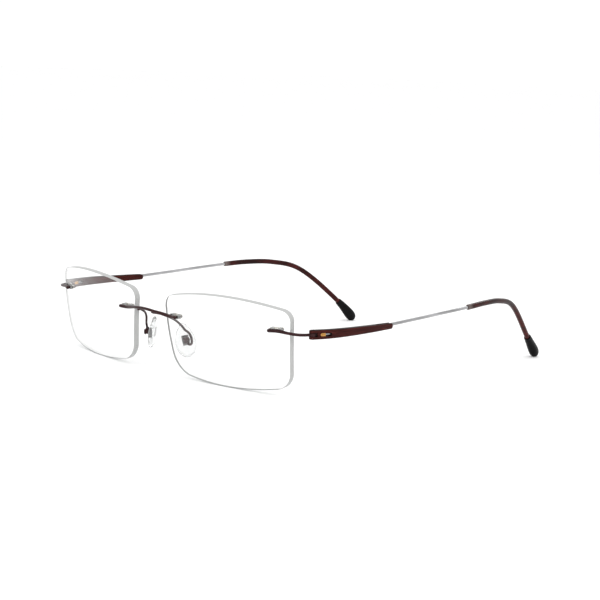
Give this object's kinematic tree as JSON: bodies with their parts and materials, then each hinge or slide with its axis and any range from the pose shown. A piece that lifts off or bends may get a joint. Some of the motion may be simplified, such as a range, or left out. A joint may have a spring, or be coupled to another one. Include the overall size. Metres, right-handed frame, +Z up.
{
  "type": "rimless eyeglasses",
  "caption": "Rimless glasses with drilled clear lenses, a wire bridge, wire end pieces and thin folding wire temples with brown hinge sleeves and rubber ear tips.",
  "frame": {"origin": "on the table, below the middle of the glasses: midway between the two sides, midway from the front of the bridge to the ear tips, at the height of the lower lens edges", "axes": "+X to the wearer's left, +Y from the lenses back to the ear tips, +Z up"},
  "size_m": [0.1386, 0.1515, 0.0308],
  "materials": {
    "clear_lens": "clear, polished",
    "brown_metal": "dark red-brown, satin gloss",
    "silver_wire": "silver grey, smooth drawn wire",
    "brass": "golden, satin",
    "brown_sleeve": "dark red-brown, streaked like wood, glossy",
    "red_brown_tube": "dark red-brown, slightly see-through",
    "black_rubber": "black, smooth",
    "clear_silicone": "clear silicone, soft",
    "clear_plug": "clear",
    "steel": "bright"
  },
  "bodies": {
    "front": {"bridge": "brown_metal", "lens_left": "clear_lens", "bridge_plug_left": "clear_plug", "temple_plug_left": "clear_plug", "pad_arm_left": "brown_metal", "pad_box_left": "brown_metal", "pad_screw_left": "steel", "end_piece_left": "brown_metal", "lens_right": "clear_lens", "bridge_plug_right": "clear_plug", "temple_plug_right": "clear_plug", "pad_arm_right": "brown_metal", "pad_box_right": "brown_metal", "pad_screw_right": "steel", "end_piece_right": "brown_metal"},
    "left_temple": {"hinge_pin_left": "steel", "hinge_sleeve_left": "brown_sleeve", "wire_anchor_left": "brass", "temple_wire_left": "silver_wire", "ear_tube_left": "red_brown_tube", "ear_tip_left": "black_rubber"},
    "left_pad": {"nose_pad_left": "clear_silicone", "pad_insert_left": "steel"},
    "right_temple": {"hinge_pin_right": "steel", "hinge_sleeve_right": "brown_sleeve", "wire_anchor_right": "brass", "temple_wire_right": "silver_wire", "ear_tube_right": "red_brown_tube", "ear_tip_right": "black_rubber"},
    "right_pad": {"nose_pad_right": "clear_silicone", "pad_insert_right": "steel"}
  },
  "joints": [
    {"name": "left_temple_fold", "type": "hinge", "parent": "front", "child": "left_temple", "pos_m": [0.066, -0.0587, 0.02128], "axis": [0, 0, 1], "range_deg": [0, 83]},
    {"name": "right_temple_fold", "type": "hinge", "parent": "front", "child": "right_temple", "pos_m": [-0.066, -0.0587, 0.02128], "axis": [0, 0, -1], "range_deg": [0, 75]},
    {"name": "left_pad_rock", "type": "hinge", "parent": "front", "child": "left_pad", "pos_m": [0.0105, -0.0642, 0.01188], "axis": [0.4606, 0.8624, 0.2098], "range_deg": [-8, 8]},
    {"name": "right_pad_rock", "type": "hinge", "parent": "front", "child": "right_pad", "pos_m": [-0.0105, -0.0642, 0.01188], "axis": [-0.4606, 0.8624, 0.2098], "range_deg": [-8, 8]}
  ]
}
